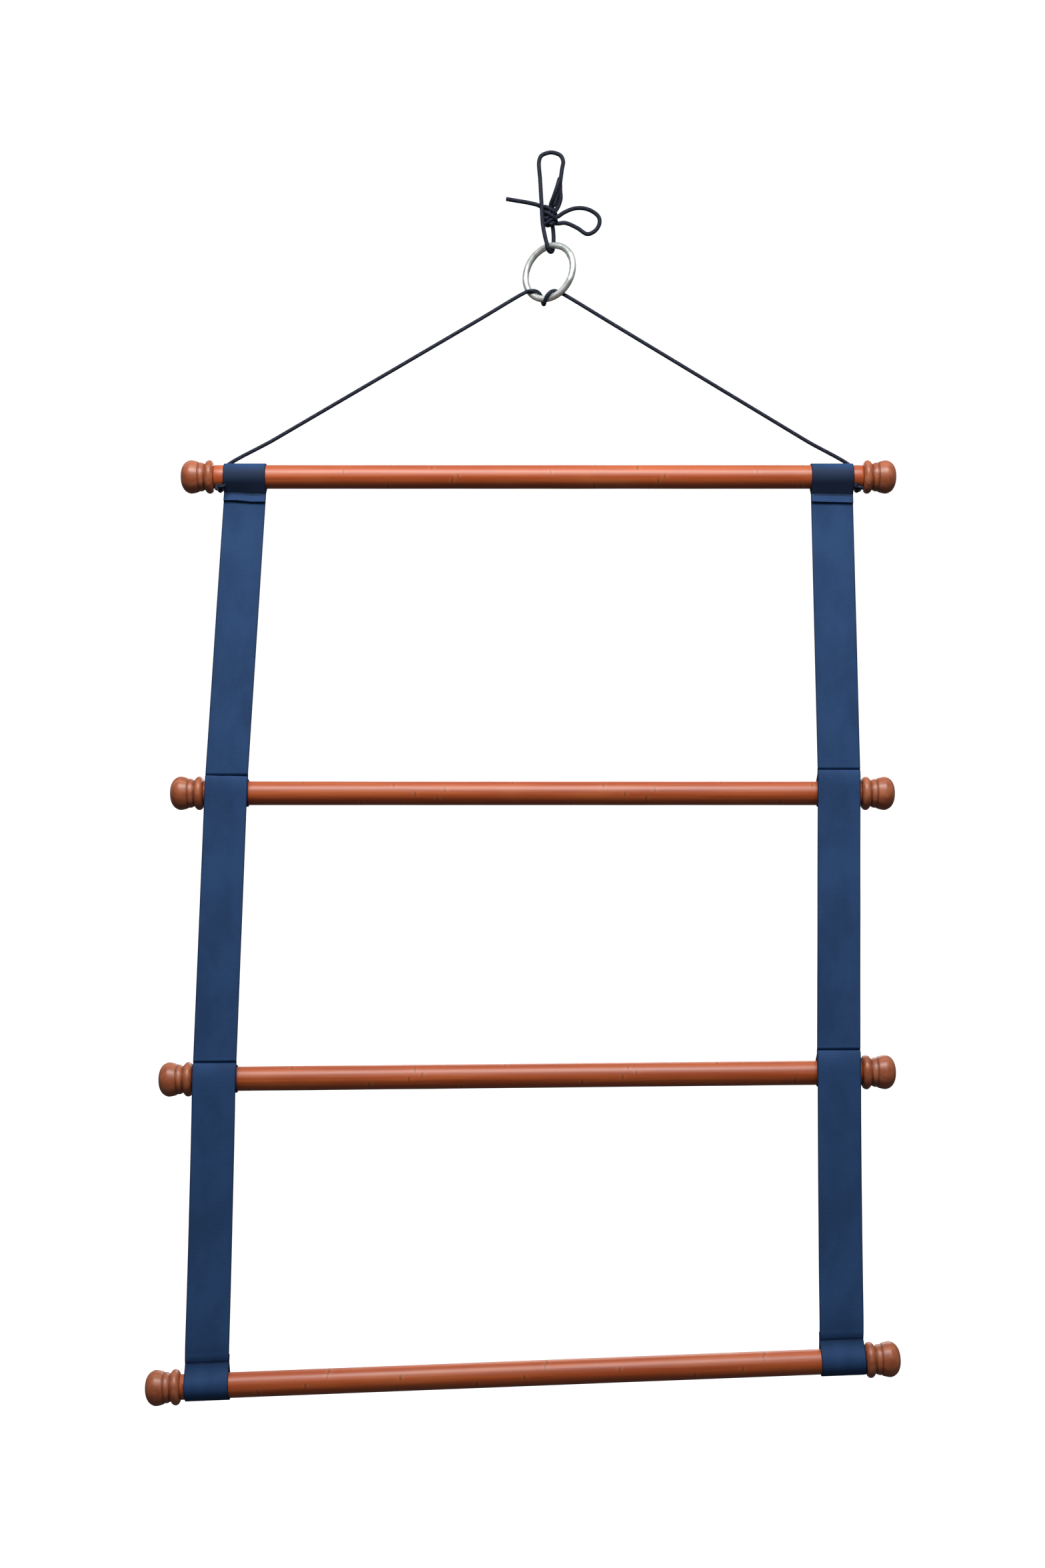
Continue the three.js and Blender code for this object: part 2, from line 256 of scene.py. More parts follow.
def braid(name, dark, light):
    """Braided cord, from its own fleck (which yarns are lighter) and crown (height) values, with painted
    shade where the crown is low.
    """
    n = Nodes(name)
    fuzz = n.noise(n.place(), 2600)
    color = n.mix(n.range(n.attribute("fleck"), 0.5, 0.9, 0, 0.85), dark, light)
    # painted shade: darker in the hollows between the yarns, where the crown is low
    color = n.mix(n.range(n.attribute("crown"), 0.0, 0.8, 0.7, 0), color, rgb(6, 8, 18))
    color = n.mix(n.range(fuzz, 0.5, 0.8, 0, 0.3), color, light)
    return n.finish(
        Base_Color=color,
        Roughness=0.7,
        Normal=n.bump(fuzz, 0.08 * MM, 0.7),
        Specular_IOR_Level=0.3,
        Sheen_Weight=0.05,
        Sheen_Tint=rgb(110, 130, 180),
    )


def thread(name):
    """Dark bonded sewing thread."""
    n = Nodes(name)
    twist = n.noise(n.place(), 3000, 2)
    color = n.mix(n.range(twist, 0.3, 0.7), rgb(8, 12, 28), rgb(20, 30, 54))
    return n.finish(Base_Color=color, Roughness=0.5, Normal=n.bump(twist, 0.05 * MM, 0.6))


def steel(name, shine, film_scale):
    """Plain bright steel: faint drawing marks, a dull film and small dark specks."""
    n = Nodes(name)
    place = n.place()
    film = n.noise(place, film_scale, 4)
    scratch = n.noise(n.vector("MULTIPLY", place, (300, 300, 2400)), 1.0, 2)
    speck = n.noise(place, 700, 2)
    color = n.mix(n.range(film, 0.35, 0.7), rgb(216, 224, 219), rgb(248, 252, 250))
    color = n.mix(n.range(speck, 0.66, 0.78, 0, 0.4), color, rgb(120, 124, 116))
    return n.finish(
        Base_Color=color,
        Metallic=0.8,
        Roughness=n.range(film, 0.3, 0.75, shine, shine + 0.14),
        Normal=n.bump(scratch, 0.03 * MM, 0.5),
    )


WEBBING = webbing("navy_webbing")
THREAD = thread("sewing_thread")
BRIDLE_BRAID = braid("bridle_braid", rgb(14, 21, 38), rgb(44, 58, 86))
TIE_BRAID = braid("tie_braid", rgb(13, 19, 34), rgb(33, 44, 66))
RING_STEEL = steel("ring_steel", 0.3, 90)
SCREW_STEEL = steel("screw_steel", 0.3, 160)


# ---- mesh helpers ----
def tube_faces(rows, columns):
    """The quads between rings that are rows of a grid of vertices."""
    row, column = np.meshgrid(np.arange(rows - 1), np.arange(columns), indexing="ij")
    after = (column + 1) % columns
    low, high = row * columns, (row + 1) * columns
    return np.stack((low + column, low + after, high + after, high + column), -1).reshape(-1, 4)


def make_object(name, points, faces, material):
    mesh = bpy.data.meshes.new(name)
    mesh.from_pydata(np.asarray(points, float).tolist(), [], faces)
    mesh.materials.append(material)
    mesh.polygons.foreach_set("use_smooth", [True] * len(mesh.polygons))
    obj = bpy.data.objects.new(name, mesh)
    bpy.context.scene.collection.objects.link(obj)
    return obj


def swept(name, rings, material):
    """A body from an array of rings, closed by a flat face at each end."""
    rows, columns, _ = rings.shape
    faces = tube_faces(rows, columns).tolist()
    faces.append(list(range(columns))[::-1])
    faces.append(list(range((rows - 1) * columns, rows * columns)))
    return make_object(name, rings.reshape(-1, 3), faces, material)


def float_attribute(obj, name, values):
    attribute = obj.data.attributes.new(name, "FLOAT", "POINT")
    attribute.data.foreach_set("value", np.asarray(values, np.float32).ravel())


def turned(name, profile, material, segments=64):
    """Rings of (along X, radius) round the X axis; the end rings are closed flat."""
    angle = np.linspace(0, -2 * math.pi, segments, endpoint=False)
    profile = np.asarray(profile, float)
    rings = np.empty((len(profile), segments, 3))
    rings[..., 0] = profile[:, :1]
    rings[..., 1] = profile[:, 1:] * np.cos(angle)
    rings[..., 2] = profile[:, 1:] * np.sin(angle)
    return swept(name, rings, material)


def spline(points, per_span):
    """A centripetal Catmull-Rom curve through the points."""
    p = np.asarray(points, float)
    p = np.vstack([2 * p[0] - p[1], p, 2 * p[-1] - p[-2]])
    out = []
    for p0, p1, p2, p3 in zip(p, p[1:], p[2:], p[3:]):
        t0 = 0.0
        t1 = t0 + np.linalg.norm(p1 - p0) ** 0.5
        t2 = t1 + np.linalg.norm(p2 - p1) ** 0.5
        t3 = t2 + np.linalg.norm(p3 - p2) ** 0.5
        for t in np.linspace(t1, t2, per_span, endpoint=False):
            a1 = ((t1 - t) * p0 + (t - t0) * p1) / (t1 - t0)
            a2 = ((t2 - t) * p1 + (t - t1) * p2) / (t2 - t1)
            a3 = ((t3 - t) * p2 + (t - t2) * p3) / (t3 - t2)
            b1 = ((t2 - t) * a1 + (t - t0) * a2) / (t2 - t0)
            b2 = ((t3 - t) * a2 + (t - t1) * a3) / (t3 - t1)
            out.append(((t2 - t) * b1 + (t - t1) * b2) / (t2 - t1))
    out.append(p[-2])
    return np.array(out)


def lengths(points):
    """How far along the line each point is."""
    steps = np.linalg.norm(np.diff(points, axis=0), axis=1)
    return np.concatenate([[0], np.cumsum(steps)])


def even(points, step):
    """The same line in even steps of about step."""
    along = lengths(points)
    at = np.linspace(0, along[-1], max(2, round(along[-1] / step) + 1))
    return np.stack([np.interp(at, along, axis) for axis in points.T], -1)


# ---- bars and finials ----
ROD_LOW, ROD_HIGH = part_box("rod_1")
ROD_R = (ROD_HIGH.z - ROD_LOW.z) / 2
ROD_HALF = (ROD_HIGH.x - ROD_LOW.x) / 2
FINIAL_LOW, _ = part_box("finial_1_left")
TIP = (ROD_HIGH.x + ROD_LOW.x) / 2 - FINIAL_LOW.x  # from a bar's middle to the tip of its finial
ROD_EDGE = 1.0 * MM
ROD_SWELL = 0.12 * MM
# from the tip inwards, in mm: ball, cove with a sharp groove at each end, bead and shoulder
FINIAL_PROFILE = [
    [(0.0, 0.01), (0.0, 4.0), (0.15, 7.2), (1.6, 12.0), (4.8, 16.6), (10.6, 19.6), (16.6, 19.0)]
    + [(20.4, 17.8), (21.1, 17.1)],
    [(21.6, 16.9), (23.2, 17.1), (25.4, 16.7), (27.2, 15.8), (28.0, 15.3)],
    [(28.4, 15.4), (29.6, 17.3), (31.6, 19.2), (34.4, 19.75), (36.8, 18.7), (38.3, 16.6)]
    + [(38.9, 15.0), (39.0, 14.6)],
]
GROOVES = (21.35, 28.1)
GROOVE_WIDTH = 1.9  # of the painted shade at a groove, on each side


def bar_matrix(bar):
    """The bar's own frame: X along its axis, Z up, origin at its middle."""
    joint = JOINTS[f"roll_{bar}"]
    along = Vector(joint["axis"]).normalized()
    back = Vector((0, 1, 0))
    matrix = Matrix((along, back, along.cross(back))).transposed().to_4x4()
    matrix.translation = Vector(joint["pos_m"])
    return matrix


def rod_profile(seed):
    """(along, radius) of a bar with eased ends, a little thicker and thinner along its length."""
    bevel = 0.3 * ROD_EDGE
    ends = [(ROD_HALF, ROD_R - ROD_EDGE), (ROD_HALF - bevel, ROD_R - bevel)]
    middle = []
    for x in np.arange(-ROD_HALF + ROD_EDGE, ROD_HALF - ROD_EDGE / 2, 8 * MM):
        swell = noise.noise(Vector((x * 14, seed, 0))) * ROD_SWELL
        middle.append((x, ROD_R + swell))
    return [(-x, r) for x, r in ends] + middle + [(x, r) for x, r in reversed(ends)]


def groove_painted_shade(profile):
    """How much painted shade a finial takes at each point of its profile: 1 at the bottom of a groove
    and 0 away from it.
    """
    nearest = np.min([np.abs(profile[:, 0] - groove) for groove in GROOVES], axis=0)
    return np.clip(1 - nearest / GROOVE_WIDTH, 0, 1)


def make_bar(bar):
    """A bar with its two finials; the hidden screws only get their steel."""
    matrix = bar_matrix(bar)
    rod = turned(f"bamboo_bar_{bar}", rod_profile(bar), bamboo(f"bamboo_{bar}", bar))
    pieces = [(rod, f"rod_{bar}", "bamboo")]
    profile = np.vstack([spline(part, 6) for part in FINIAL_PROFILE])
    for side, out in SIDES.items():
        wood = turned_wood(f"turned_{bar}_{side}", bar * 2.3 + out)
        placed = np.column_stack([out * (TIP - profile[:, 0] * MM), profile[:, 1] * MM])
        if out > 0:
            placed = placed[::-1]
        knob = turned(f"knob_{bar}_{side}", placed, wood)
        # the painted shade of the grooves, kept as the groove value
        depth = groove_painted_shade(profile if out < 0 else profile[::-1])
        float_attribute(knob, "groove", np.repeat(depth, len(knob.data.vertices) // len(depth)))
        pieces.append((knob, f"finial_{bar}_{side}", "turned_wood"))
        screw = frame["nodes"][f"finial_screw_{bar}_{side}"]
        for slot in screw.material_slots:
            slot.material = SCREW_STEEL
    for piece, node, slot in pieces:
        piece.matrix_world = matrix
        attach(piece, f"bar_{bar}")
        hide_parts(node)


for number in range(1, 5):
    make_bar(number)

# ---- ring ----
RING_R = 33.5 * MM
RING_WIRE_R = 4 * MM
RING_TURN = math.radians(33)  # right side to the front
RING_LEAN = math.radians(6)  # top to the right
RING_CENTRE = np.array((-2.7, -1.5, -149.4)) * MM
ACROSS = np.array(
    (
        math.cos(RING_TURN) * math.cos(RING_LEAN),
        -math.sin(RING_TURN),
        -math.cos(RING_TURN) * math.sin(RING_LEAN),
    )
)
UP = np.array((math.sin(RING_LEAN), 0, math.cos(RING_LEAN)))
FRONT = np.cross(ACROSS, UP)
RING_STATIONS = 192
WIRE_SIDES = 32
WELD_ANGLE = 57  # degrees from the top, where the ring's wire is joined
WELD_SPREAD = 5  # degrees
WELD_HEIGHT = 0.35 * MM


def beside_wire(ring_angle, wire_angle, distance):
    """A point beside the ring's wire: degrees clockwise from its top, and degrees round the wire
    from its outer side by way of the front."""
    ring_angle, wire_angle = math.radians(ring_angle), math.radians(wire_angle)
    outward = ACROSS * math.sin(ring_angle) + UP * math.cos(ring_angle)
    radius = RING_R + distance * math.cos(wire_angle)
    return RING_CENTRE + outward * radius + FRONT * distance * math.sin(wire_angle)


def make_ring():
    """The ring of round wire, a little thicker and lumpy where it is welded."""
    points = []
    for i in range(RING_STATIONS):
        ring_angle = i * 360 / RING_STATIONS
        from_weld = (ring_angle - WELD_ANGLE) / WELD_SPREAD
        weld = WELD_HEIGHT * math.exp(-from_weld * from_weld)
        for k in range(WIRE_SIDES):
            wire_angle = k * 360 / WIRE_SIDES
            lump = noise.noise(Vector((ring_angle * 0.7, wire_angle * 0.03, 0)))
            radius = RING_WIRE_R + weld * (1 + lump)
            points.append(beside_wire(ring_angle, wire_angle, radius))
    faces = (tube_faces(RING_STATIONS + 1, WIRE_SIDES) % len(points)).tolist()
    ring = make_object("steel_ring", points, faces, RING_STEEL)
    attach(ring, "sling")
    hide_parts("hang_ring")


make_ring()

# ---- cords ----
BRIDLE_R = 2.25 * MM
TIE_R = 2.5 * MM
YARNS = 8  # in each direction of the braid
BRAID_SIDES = 40
BRAID_STEP = 0.45 * MM
YARN_LENGTH = 2.6 * MM  # along the cord, from one crossing of the same yarns to the next
YARN_RISE = 0.3 * MM
FLECKED = (1, 4)  # the lighter yarns, in each direction


def carried_sides(path):
    """Two directions across the path at each point, that turn as little as they can along it."""
    tangent = np.gradient(path, axis=0)
    tangent /= np.linalg.norm(tangent, axis=1)[:, None]
    side = np.cross(tangent[0], (0.1, 1, 0.03))
    sides = [side / np.linalg.norm(side)]
    for direction in tangent[1:]:
        side = sides[-1] - direction * np.dot(sides[-1], direction)
        sides.append(side / np.linalg.norm(side))
    sides = np.array(sides)
    return sides, np.cross(tangent, sides)


def braided(name, path, radius, material):
    """A braided tube along the path, with its yarns raised where they cross over."""
    path = even(path, BRAID_STEP)
    along = lengths(path)[:, None]
    turn = np.arange(BRAID_SIDES)[None, :] / BRAID_SIDES
    phase = YARNS * turn
    travel = along / YARN_LENGTH
    one, other = phase + travel, phase - travel + YARNS * 1000
    over = (np.floor(one) + np.floor(other)) % 2 == 0
    top = np.where(over, one, other)
    under = np.where(over, other, one)
    rounded = np.sin(np.pi * (top % 1)) ** 0.6
    arch = np.sin(np.pi * (under % 1)) ** 0.5
    crown = rounded * (0.55 + 0.45 * arch)
    fleck = np.isin(np.floor(top) % YARNS, FLECKED)
    angle = 2 * np.pi * turn
    side, up = carried_sides(path)
    height = radius + (crown - 0.75) * YARN_RISE
    rings = side[:, None, :] * (height * np.cos(angle))[..., None]
    rings = rings + up[:, None, :] * (height * np.sin(angle))[..., None]
    rings = close_ends(rings + path[:, None, :], path)
    cord = swept(name, rings, material)
    crown = np.vstack([crown[:1], crown, crown[-1:]])
    fleck = np.vstack([fleck[:1], fleck, fleck[-1:]])
    float_attribute(cord, "crown", crown)
    float_attribute(cord, "fleck", fleck)
    return cord


def close_ends(rings, path):
    """The rings with a smaller one added at each end, so that a cut end is a little rounded."""
    first = path[0] + (rings[0] - path[0]) * 0.6 - (path[1] - path[0])
    last = path[-1] + (rings[-1] - path[-1]) * 0.6 + (path[-1] - path[-2])
    return np.concatenate([first[None], rings, last[None]])


# ---- bridle: its round turn on the foot of the ring, as (ring angle, wire angle) ----
ROUND_TURN = [(226, 80), (210, 180), (198, 270), (183, 360), (172, 450), (156, 540), (144, 640)]
WIRE_CLEAR = RING_WIRE_R + BRIDLE_R + 0.2 * MM
BAR_CLEAR = ROD_R + BRIDLE_R + 0.3 * MM
BAR_1 = np.array(JOINTS["roll_1"]["pos_m"])
HITCH_X = {"left": -393 * MM, "right": 361.6 * MM}
HITCH_ANGLES = (48, 20, -10, -40, -70, -98, -118)  # down behind the bar and under it
HITCH_STEP = 0.4 * MM  # outwards, from one of those angles to the next
RUN_PARTS = 6  # that each straight run is split into


def beside_bar(x, angle, distance):
    """A point beside the top bar, at an angle from its back, upwards."""
    angle = math.radians(angle)
    return np.array((x, distance * math.cos(angle), BAR_1[2] + distance * math.sin(angle)))


def hitch(side):
    """The cord's way behind the bar, from the top down."""
    step = SIDES[side] * HITCH_STEP
    return [
        beside_bar(HITCH_X[side] + index * step, angle, BAR_CLEAR)
        for index, angle in enumerate(HITCH_ANGLES)
    ]


def straight_run(start, end):
    """The points inside a taut run between two places."""
    return [start + (end - start) * i / RUN_PARTS for i in range(1, RUN_PARTS)]


def bridle_path():
    """From the left end, up to the ring, round it and down to the right end."""
    ring_angles, wire_angles = np.array(ROUND_TURN, float).T
    at = np.linspace(0, len(ROUND_TURN) - 1, 3 * (len(ROUND_TURN) - 1) + 1)
    stations = np.arange(len(ROUND_TURN))
    turn = [
        beside_wire(np.interp(t, stations, ring_angles), np.interp(t, stations, wire_angles), WIRE_CLEAR)
        for t in at
    ]
    left, right = hitch("left"), hitch("right")
    points = left[::-1] + straight_run(left[0], turn[0]) + turn
    return spline(points + straight_run(turn[-1], right[0]) + right, 12)


# ---- end knots ----
KNOT_ANGLE = -128  # round the bar, from its back
KNOT_OUT = {"left": -0.8, "right": 1.2}  # mm, from the hitch
KNOT_CLEAR = 6.2 * MM  # from the bar's face to the knot's middle
KNOT_SIZE = (4.8, 2.8, 2.5)  # mm, half of its width, height and depth
KNOT_TURN = {"left": -12, "right": 32}  # degrees
KNOT_CORD_R = 1.8 * MM  # of the cord where it is pulled tight


def end_knot(side):
    """An overhand knot pulled tight, lying on the lower front of the top bar."""
    t = np.linspace(0, 2 * math.pi * 0.97, 160)
    trefoil = np.stack(
        [
            (np.sin(t) + 2 * np.sin(2 * t)) / 2.6,
            (np.cos(t) - 2 * np.cos(2 * t)) / 2.6,
            -np.sin(3 * t),
        ],
        -1,
    ) * np.array(KNOT_SIZE) * MM
    away = -math.radians(KNOT_ANGLE)
    out = np.array((0, math.cos(away), -math.sin(away)))
    turn = math.radians(KNOT_TURN[side])
    over = np.cross((1, 0, 0), out)
    along = np.array((1, 0, 0)) * math.cos(turn) + over * math.sin(turn)
    across = np.cross(out, along)
    x = HITCH_X[side] + SIDES[side] * KNOT_OUT[side] * MM
    centre = beside_bar(x, KNOT_ANGLE, ROD_R + KNOT_CLEAR)
    path = centre + trefoil @ np.array([along, across, out])
    knot = braided(f"bridle_knot_{side}", path, KNOT_CORD_R, BRIDLE_BRAID)
    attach(knot, "sling")
    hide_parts(f"end_knot_{side}")
    return knot


def make_bridle():
    """The cord from one end of the top bar to the ring and on to the other end."""
    path = bridle_path()
    cord = braided("bridle", path, BRIDLE_R, BRIDLE_BRAID)
    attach(cord, "sling")
    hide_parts("bridle_cord")
    [end_knot(side) for side in SIDES]


make_bridle()

# ---- tie cord: the routes of its parts, in mm ----
TIE_UPPER = [(3.5, 3.5, -64), (8.3, 2.6, -50), (11, 1.8, -34), (13.2, 0.5, -18), (14.6, 0, -8.5)]
TIE_UPPER += [(11.6, 0, -1.4), (6, 0, 1.7), (0, 0, 2.8), (-6, 0, 1.7), (-11.8, 0, -1.4)]
TIE_UPPER += [(-14.6, 0, -8), (-13.4, -0.5, -32), (-11.9, -1.5, -60), (-10.2, -3, -90)]
TIE_UPPER += [(-7.4, -5.2, -107)]
TIE_LOWER = [(2.9, 6, -106), (2.6, 5, -97), (1.5, 2, -88)]
BIGHT_ANGLES = (90, 130, 180, 230, 270)  # round the ring's wire, between upper and lower
BIGHT_CLEAR = RING_WIRE_R + TIE_R + 0.5 * MM
RING_TOP_ANGLE = -5  # where the cord holds the ring
BOW_LOOP = [(1, -2, -81), (7.4, -2.5, -80), (15, -3, -75), (27.4, -2.5, -69.6), (40, -1.5, -69)]
BOW_LOOP += [(50.5, 0, -72.6), (57.5, 1, -79), (58.3, 1.6, -87), (52.8, 2, -96), (43.5, 2.4, -99.8)]
BOW_LOOP += [(31.4, 2.6, -92), (17, 2.8, -85.6), (8, 3, -86.2), (1, 2, -86)]
BOW_LOOP_UPPER = [(-1, -3, -74), (-0.8, -6.8, -67), (2.8, -13, -59), (6.6, -17, -49), (8.8, -16, -41)]
BOW_LOOP_UPPER += [(9.8, -12.4, -36.2), (10.4, -7.8, -34.8), (10.8, -4.4, -38.6), (11, -3.2, -47.5)]
BOW_LOOP_UPPER += [(11.4, -3, -57), (8.4, -2.6, -67), (3, -1, -75)]
CORD_TAIL = [(-2, 3, -70), (-8, 5.6, -66.5), (-16, 5.8, -61.8), (-30, 4.5, -58.8), (-44, 3, -57)]
CORD_TAIL += [(-54.4, 2, -55.5)]
# the bow knot's wraps, one layer up and one down over it, in mm:
# (middle x, half width, half depth, first z, last z, slant, turns)
WRAPS = [(-1.4, 5.4, 4.4, -90.5, -66, 2.6, 4.5), (-1.4, 7.4, 6.8, -68, -86, -3.6, 2.5)]


def knot_path():
    """The slanting turns round both legs of the tie cord."""
    layers = []
    for middle, wide, deep, first, last, slant, turns in WRAPS:
        t = np.linspace(0, 1, int(24 * turns))
        angle = 2 * math.pi * turns * t + math.pi * len(layers)
        swell = 1 - 0.2 * (2 * t - 1) ** 2
        x = middle + wide * swell * np.sin(angle)
        y = -deep * swell * np.cos(angle)
        z = first + (last - first) * t + slant * np.sin(angle)
        layers.append(np.stack([x, y, z], -1))
    return spline(np.vstack(layers)[::3] * MM, 4)


def make_tie():
    """The loop that the rack hangs by, and the bow that closes it."""
    bight = [beside_wire(RING_TOP_ANGLE, angle, BIGHT_CLEAR) for angle in BIGHT_ANGLES]
    points = [np.array(p) * MM for p in TIE_UPPER] + bight + [np.array(p) * MM for p in TIE_LOWER]
    knot = braided("bow_knot_wraps", knot_path(), TIE_R * 0.92, TIE_BRAID)
    cords = [
        ("hanging_loop", spline(points, 12), "tie_cord", "knot", "taut", [knot]),
        ("bow_right", spline(np.array(BOW_LOOP) * MM, 12), "bow_loop", "knot", "loose", []),
        ("bow_upper", spline(np.array(BOW_LOOP_UPPER) * MM, 12), "bow_loop_upper", "knot", "loose", []),
        ("tail", spline(np.array(CORD_TAIL) * MM, 12), "cord_tail", "bare", "loose", []),
    ]
    for name, path, node, far_end, lay, with_pieces in cords:
        cord = braided(name, path, TIE_R, TIE_BRAID)
        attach(cord, "hanger")
        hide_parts(node)
    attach(knot, "hanger")
    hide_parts("bow_knot")


make_tie()

# ---- straps ----
WEB_WIDTH = 50 * MM
WEB_T = 1.7 * MM
GAP = 0.3 * MM
LOOP_R = ROD_R + GAP + WEB_T / 2  # of the webbing's mid-surface round a bar
LAYER = WEB_T + GAP
# in mm, from the top bar down: where the middle of each strap crosses each bar
STRAP_X = {
    "left": (-364.6, -380.5, -387.9, -389.3),
    "right": (333.0, 335.0, 328.7, 325.9),
}
# from each bar's axis up to its seam
SEAM_RISE = {"left": (-21, 18, 18, 25), "right": (-22, 25, 25, 23)}
# how far the right edge of each fold or flap lies below its left edge
EDGE_DROP = {"left": (2.6, 1.5, 0.3, 1.2), "right": (1.3, 0.2, 0.5, -0.8)}
FLAP = {"left": 9.4, "right": 9.8}  # mm of webbing beyond a hem's seam
FLARE = 1.3 * MM  # of a flap's free end off the strap
BULGE = {2: (1.5 * MM, 12 * MM), 3: (2.8 * MM, 18 * MM)}  # of the strap and how far below a fold
FOOT_BULGE = (3.4 * MM, 22 * MM)  # the same, above the foot
NECK_END = 26  # mm along the top strap, where the slant of its hem ends
FOLD_UP = 1.5 * MM  # from the middle of a fold to its seam
FOLD_OUT = 1.0 * MM  # of a fold in front of the strap above it
TUCK = [(0, 5), (0, 3.4), (1.1, 1.9), (2.3, 0.6), (2.85, -0.9), (2.9, -3)]  # in behind a fold, mm
RIDGE = 0.5 * MM  # of the strap over the end of the foot's flap
SKEW = 1.5 * MM  # of a loop's back, away from the middle of the rack
SKEW_DEPTH = 34 * MM  # how far back that is
WAVER = 0.3  # of EDGE_DROP, so that no edge is quite straight
SLANT_LENGTH = 9 * MM  # of strap, over which the slant of a fold dies out
CUP = 0.5 * MM  # of the strap across its width
WAVE = 0.7 * MM  # of the strap along its length
PATTERN_STEP = 0.5  # from one strap's part of the cloth's pattern to the next


def arc(centre, radius, start, end):
    """Points on an arc, angles in degrees, (y, z)."""
    count = max(4, int(abs(end - start) * math.pi / 180 * radius / (0.8 * MM)))
    angle = np.radians(np.linspace(start, end, count))
    return np.stack([centre[0] + radius * np.cos(angle), centre[1] + radius * np.sin(angle)], -1)


def tangent_angles(point, centre):
    """The angles at which lines from a point touch the loop round a bar, in degrees."""
    offset = np.subtract(point, centre)
    towards = math.degrees(math.atan2(offset[1], offset[0]))
    spread = math.degrees(math.acos(LOOP_R / np.linalg.norm(offset)))
    return towards - spread, towards + spread


def between(start, end, step):
    """The points of a straight line, without its ends."""
    way = np.subtract(end, start)
    count = max(2, int(np.linalg.norm(way) / step))
    return start + way * (np.arange(1, count) / count)[:, None]


def hump(distance, height, peak):
    """0 at 0, up to the height at the peak, and slowly down again."""
    return height * distance / peak * np.exp(1 - distance / peak)


